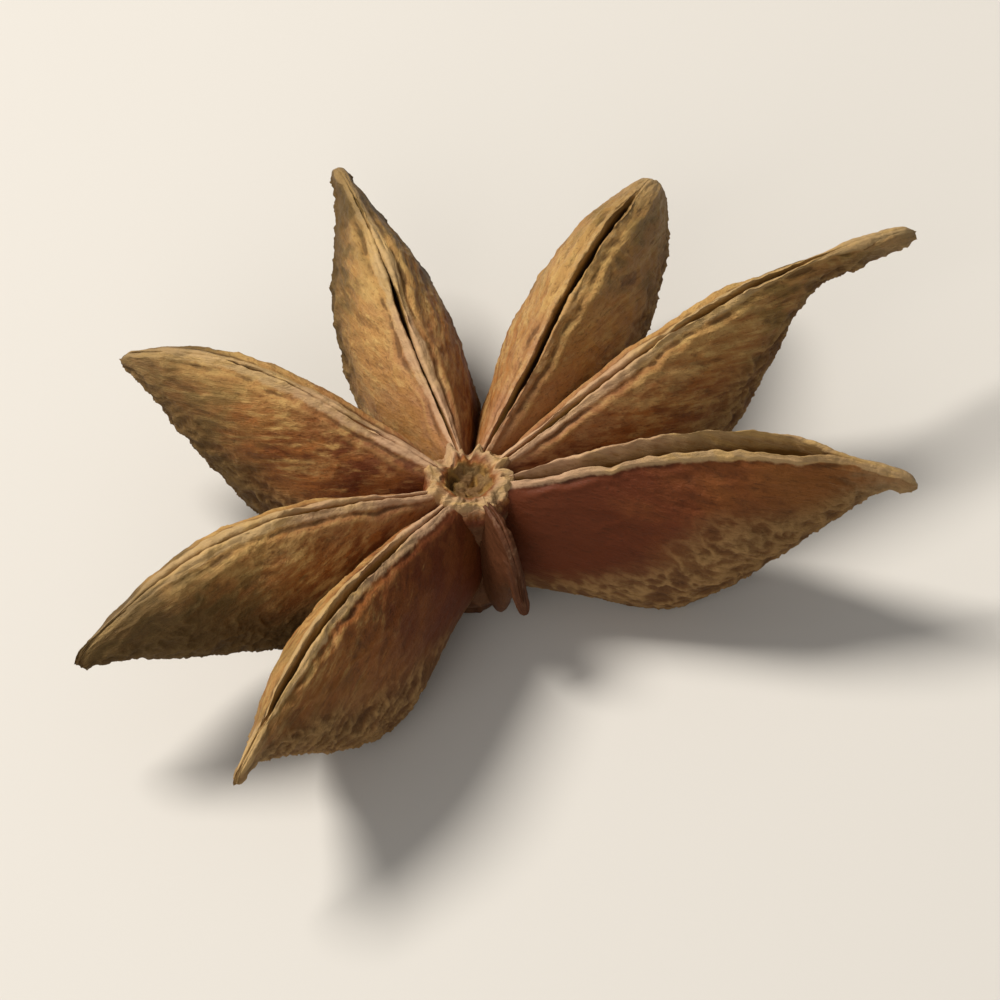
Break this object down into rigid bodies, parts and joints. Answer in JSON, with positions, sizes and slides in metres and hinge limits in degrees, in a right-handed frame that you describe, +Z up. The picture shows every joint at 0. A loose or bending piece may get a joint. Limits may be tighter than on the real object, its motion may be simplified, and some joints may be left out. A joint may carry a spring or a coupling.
{
  "type": "star anise pod",
  "caption": "Dried star anise fruit: woody boat-shaped carpels with split seams and beaked tips, set round a short column with a hollow top.",
  "frame": {"origin": "centre of the broken stalk's flat end under the column, on the surface that the pod rests on", "axes": "+Z up along the column, +X along the carpel whose seam gapes widest, +Y away from the open side where one carpel never grew"},
  "size_m": [0.0283, 0.0279, 0.0078],
  "materials": {
    "husk": "matt, dry and wrinkled"
  },
  "bodies": {
    "root": {"pod": "husk"}
  },
  "joints": []
}
